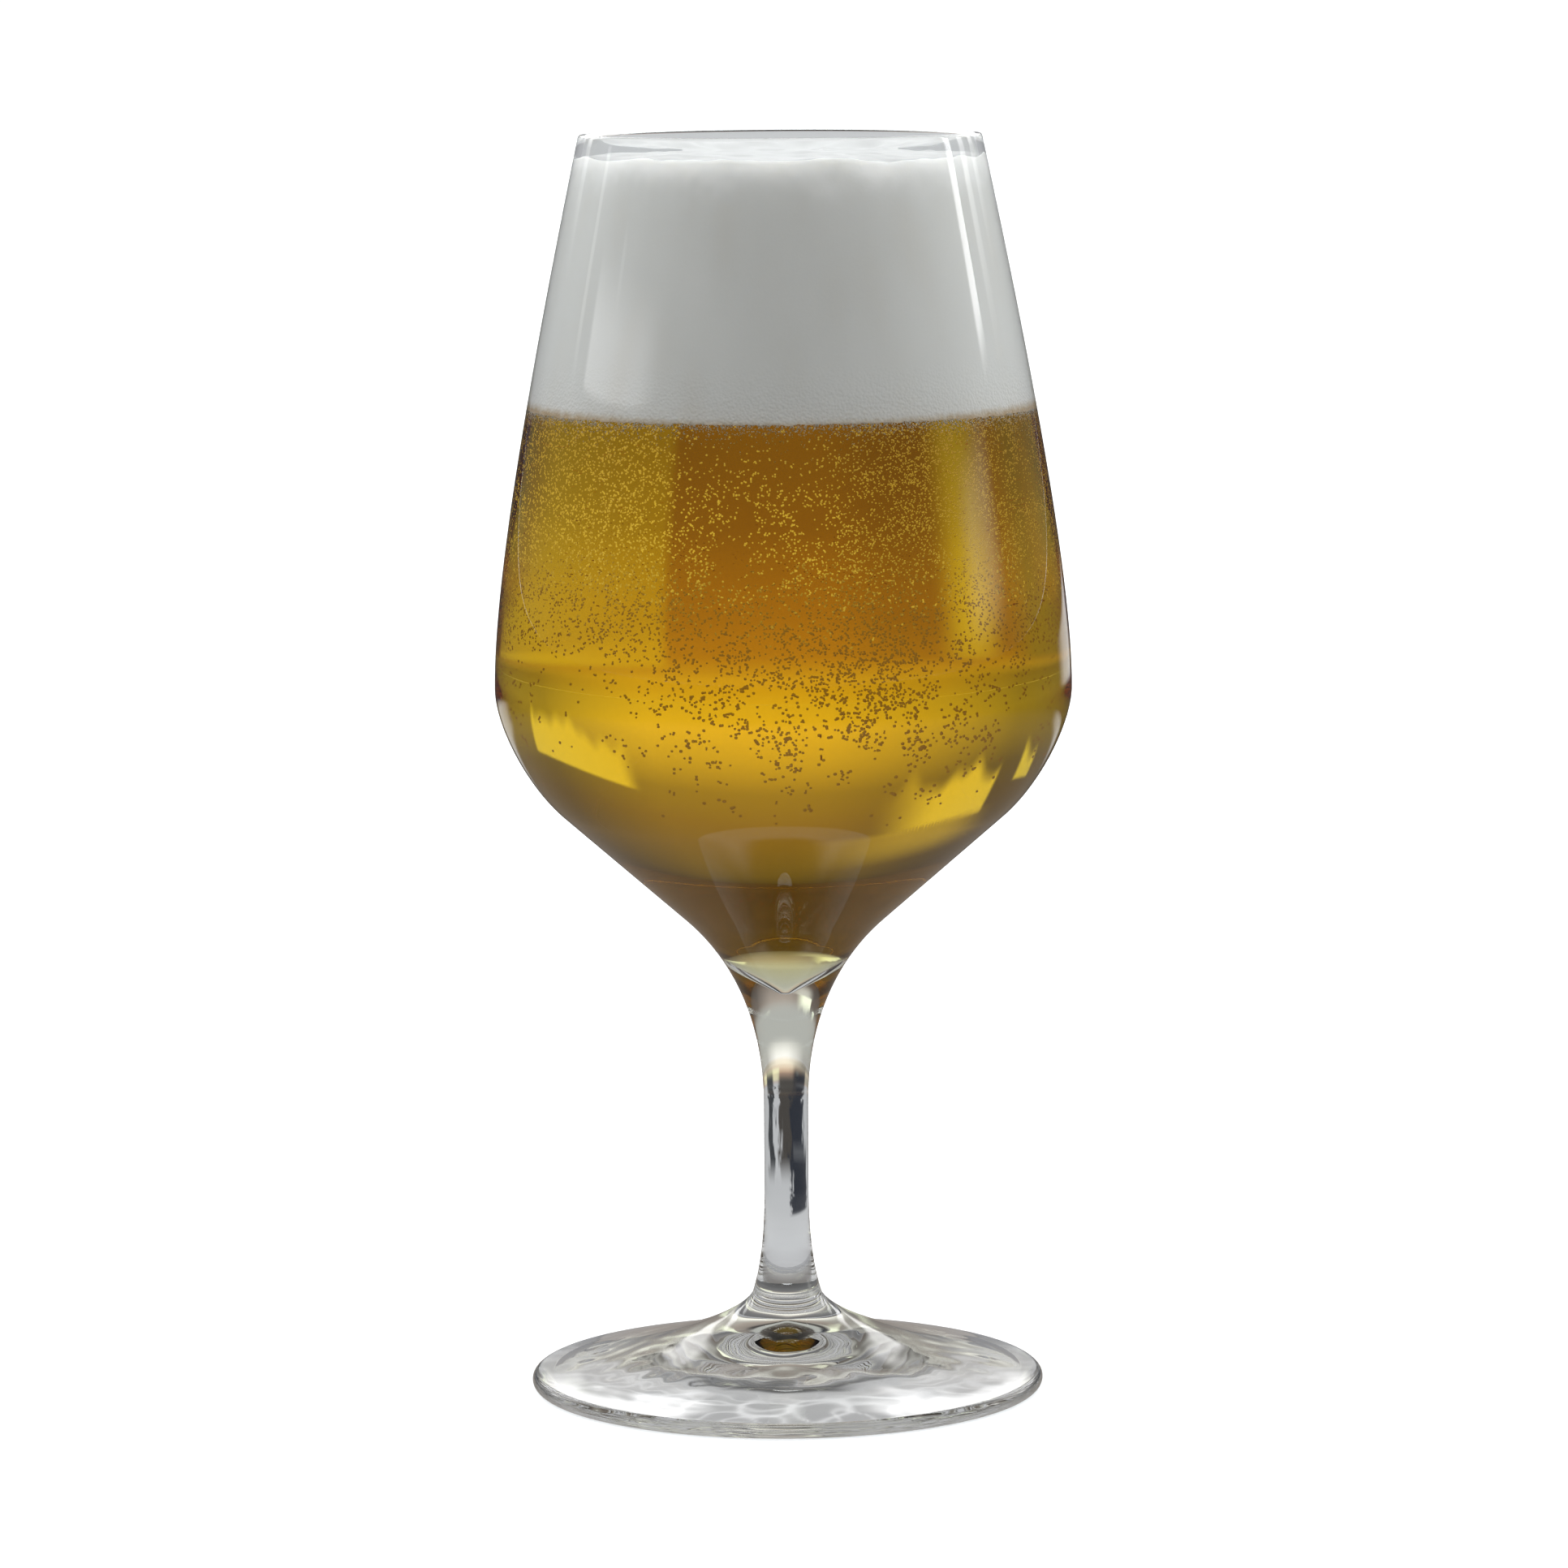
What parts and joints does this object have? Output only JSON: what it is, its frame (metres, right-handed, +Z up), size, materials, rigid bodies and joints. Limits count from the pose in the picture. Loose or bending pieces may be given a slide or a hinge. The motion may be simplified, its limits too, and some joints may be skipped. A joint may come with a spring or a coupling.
{
  "type": "tulip beer glass",
  "caption": "Stemmed tulip glass with a round foot, wide low down and drawn in to the rim, filled with amber beer under a deep head of foam.",
  "frame": {"origin": "centre of the ring that the foot stands on, in the plane of the table", "axes": "+Z up along the axis of the glass, from the foot to the rim; +X and +Y are level and alike, because the glass is round"},
  "size_m": [0.0824, 0.0824, 0.18],
  "materials": {
    "clear_glass": "polished",
    "amber_beer": "polished",
    "foam": "matte"
  },
  "bodies": {
    "root": {"bowl": "clear_glass", "stem": "clear_glass", "foot": "clear_glass", "beer": "amber_beer", "foam_head": "foam"}
  },
  "joints": []
}
